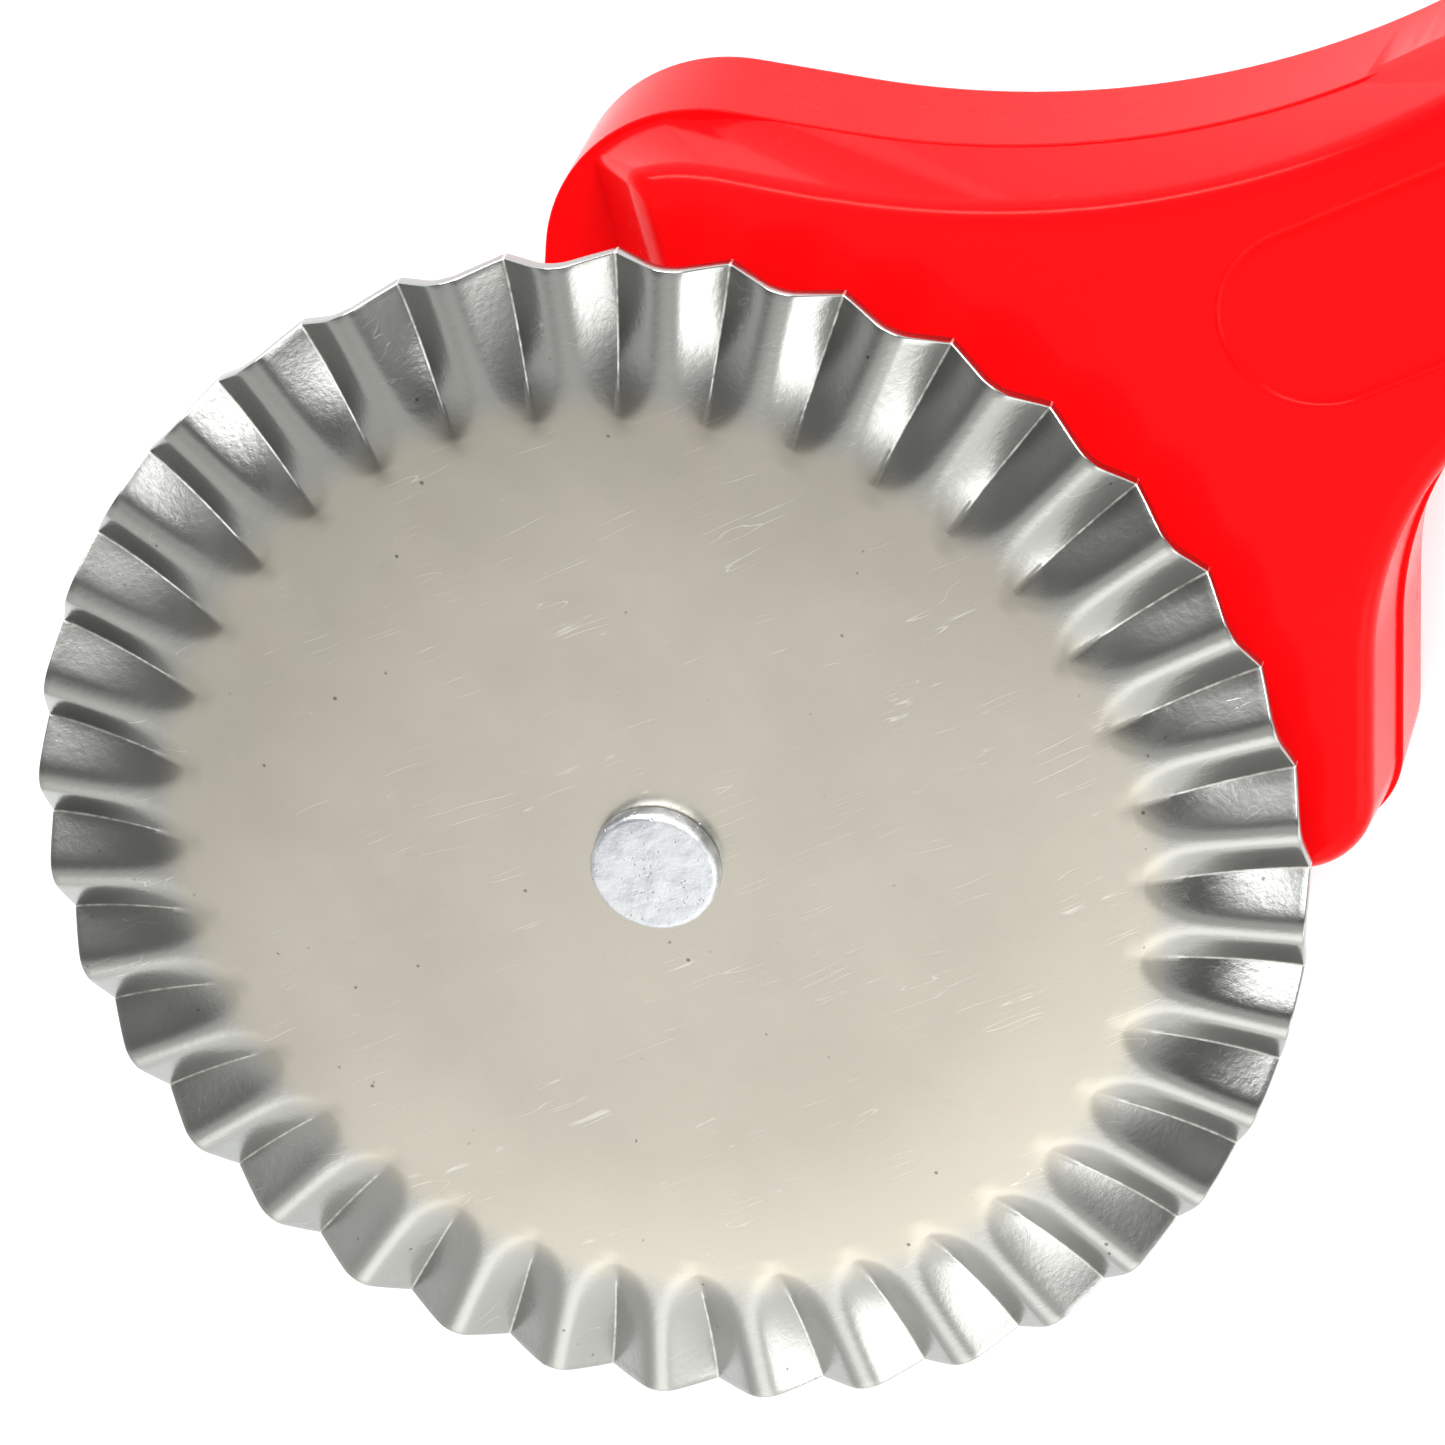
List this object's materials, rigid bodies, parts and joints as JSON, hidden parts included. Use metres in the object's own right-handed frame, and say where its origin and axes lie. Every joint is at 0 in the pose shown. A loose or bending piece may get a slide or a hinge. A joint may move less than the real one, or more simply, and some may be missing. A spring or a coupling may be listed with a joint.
{
  "type": "pastry cutter wheel",
  "caption": "Fluted sheet-metal pastry wheel that turns on a rivet beside a moulded plastic handle with a horned head, a narrow neck and a long grip.",
  "frame": {"origin": "centre of the tool's box, on the plane of the handle's flat back face, with the tool lying on its back", "axes": "+X along the grip from the wheel to the hanging hole, +Z along the wheel's axis, out of the front of the disc, +Y across the grip towards the upper horn"},
  "size_m": [0.184, 0.0641, 0.0184],
  "materials": {
    "handle_plastic": "glossy moulded red",
    "wheel_steel": "satin, finely scratched",
    "rivet_aluminium": "matt, pitted by the hammer"
  },
  "bodies": {
    "tool_body": {"handle": "handle_plastic", "axle_rivet": "rivet_aluminium", "rear_washer": "rivet_aluminium"},
    "wheel": {"cutter_wheel": "wheel_steel"}
  },
  "joints": [
    {"name": "wheel_spin", "type": "hinge", "parent": "tool_body", "child": "wheel", "pos_m": [-0.06, 0, 0.01698], "axis": [0, 0, 1], "continuous": true}
  ]
}
